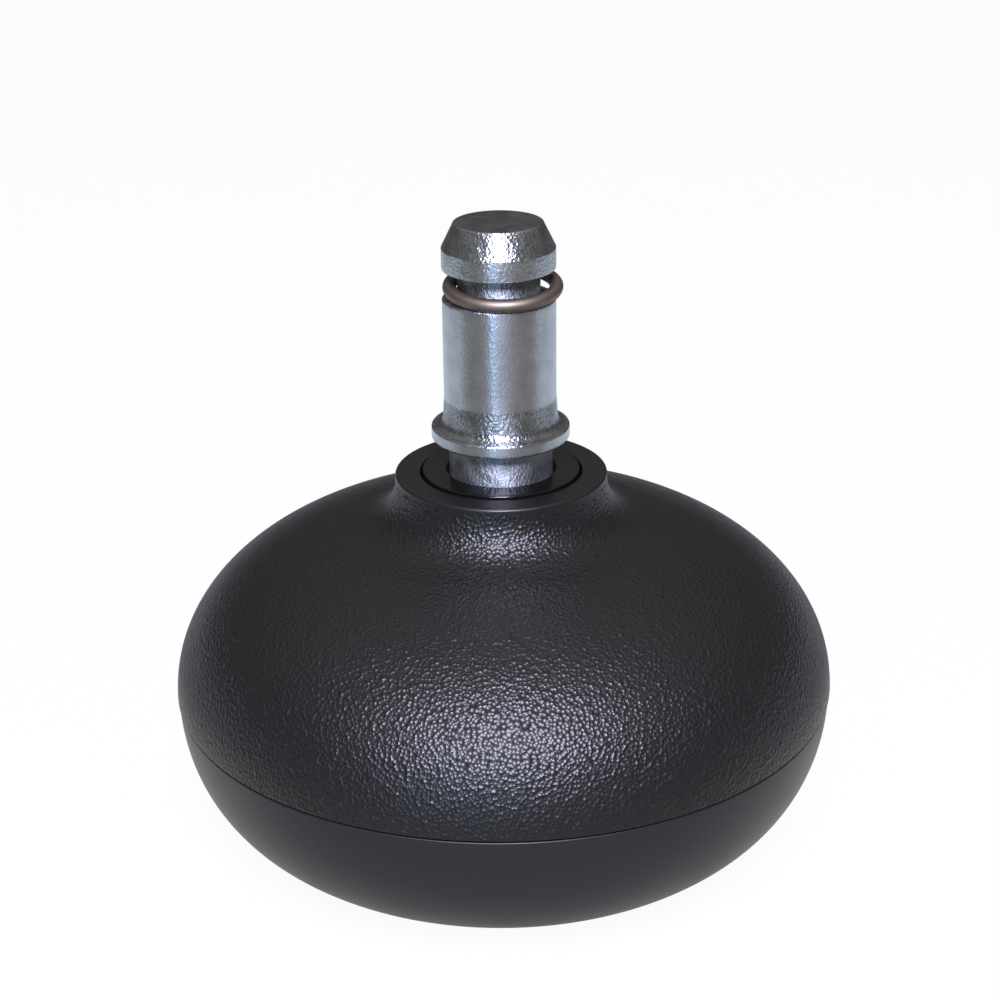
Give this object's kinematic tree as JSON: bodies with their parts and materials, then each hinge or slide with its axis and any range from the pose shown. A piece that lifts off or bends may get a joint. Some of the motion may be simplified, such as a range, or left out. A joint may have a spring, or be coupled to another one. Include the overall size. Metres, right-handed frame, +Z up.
{
  "type": "office chair glide",
  "caption": "Bell-shaped black plastic chair glide with a smooth rounded sole and an upright zinc-plated grip-ring stem that pushes into a castor socket.",
  "frame": {"origin": "centre of the flat under the sole, on the stem's axis, at floor level", "axes": "+Z up along the stem, out of its tip; +Y away from the picture's viewer, where the ring's split is; +X to the viewer's right"},
  "size_m": [0.0666, 0.0666, 0.0649],
  "materials": {
    "zinc_steel": "bright zinc plate, turned",
    "spring_wire": "brown oil-tempered spring wire",
    "grained_plastic": "fine moulded grain",
    "smooth_plastic": "smooth satin"
  },
  "bodies": {
    "root": {"stem": "zinc_steel", "grip_ring": "spring_wire", "bell": "grained_plastic", "sole": "smooth_plastic"}
  },
  "joints": []
}
